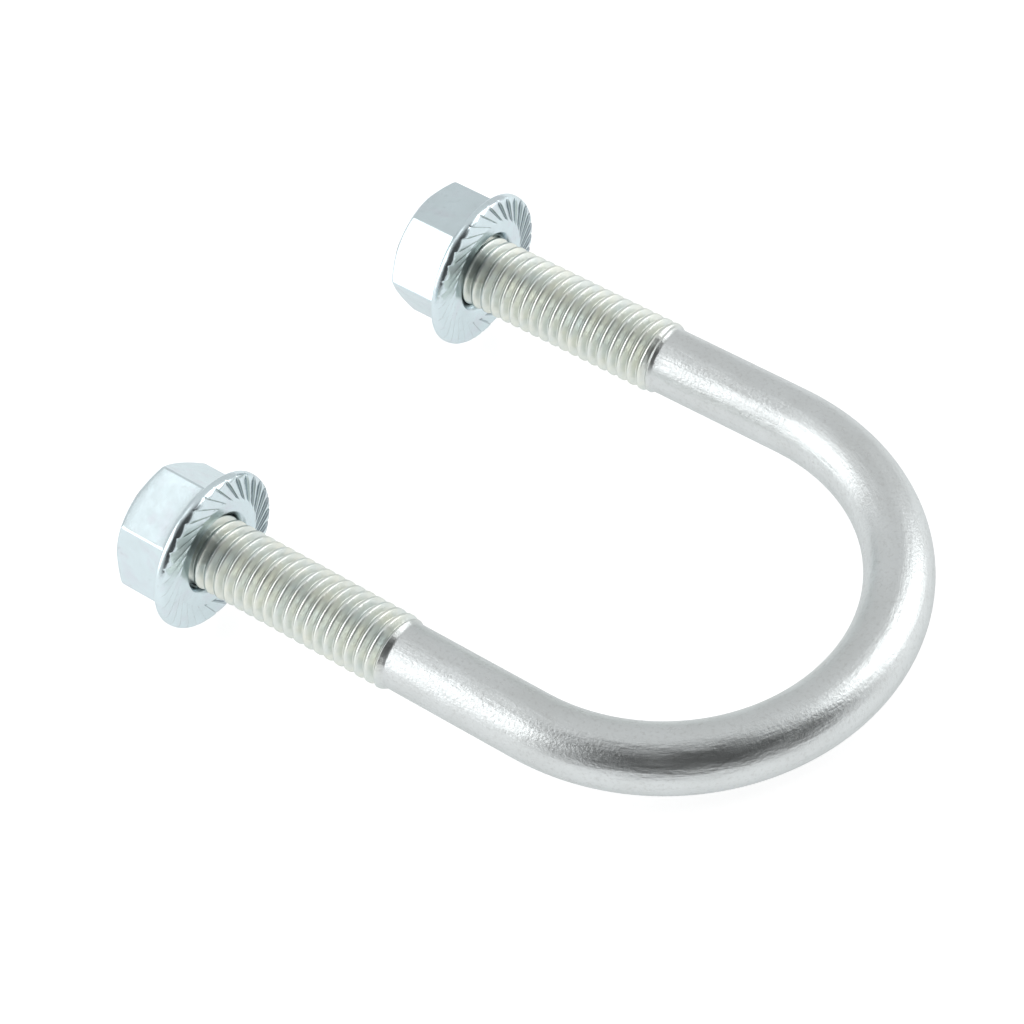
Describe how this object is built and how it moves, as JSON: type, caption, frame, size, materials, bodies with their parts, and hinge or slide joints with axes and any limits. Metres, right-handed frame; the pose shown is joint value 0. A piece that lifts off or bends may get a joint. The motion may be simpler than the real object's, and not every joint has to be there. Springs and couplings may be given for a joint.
{
  "type": "u-bolt",
  "caption": "Zinc-plated round-bar U-bolt with rolled metric threads on its legs and serrated hexagon flange nuts, for clamping a pipe to a plate.",
  "frame": {"origin": "centre of the bend, on the axis of the pipe the bolt holds and midway through the bar's thickness", "axes": "+Z along the pipe's axis, square to the plane of the U; +X from the legs towards the bend; +Y towards the left leg"},
  "size_m": [0.0736, 0.0633, 0.0172],
  "materials": {
    "zinc_plated_bar": "bright zinc plating, satin with a thin grain along the bar",
    "zinc_plated_nut": "clear blue zinc plating, smooth satin"
  },
  "bodies": {
    "u_bolt": {"u_bolt": "zinc_plated_bar"},
    "flange_nut_left": {"flange_nut_left": "zinc_plated_nut"},
    "flange_nut_right": {"flange_nut_right": "zinc_plated_nut"}
  },
  "joints": [
    {"name": "left_nut_travel", "type": "slide", "parent": "u_bolt", "child": "flange_nut_left", "axis": [1, 0, 0], "range_m": [-0.00875, 0.02125]},
    {"name": "right_nut_travel", "type": "slide", "parent": "u_bolt", "child": "flange_nut_right", "axis": [1, 0, 0], "range_m": [-0.00875, 0.02125]}
  ]
}
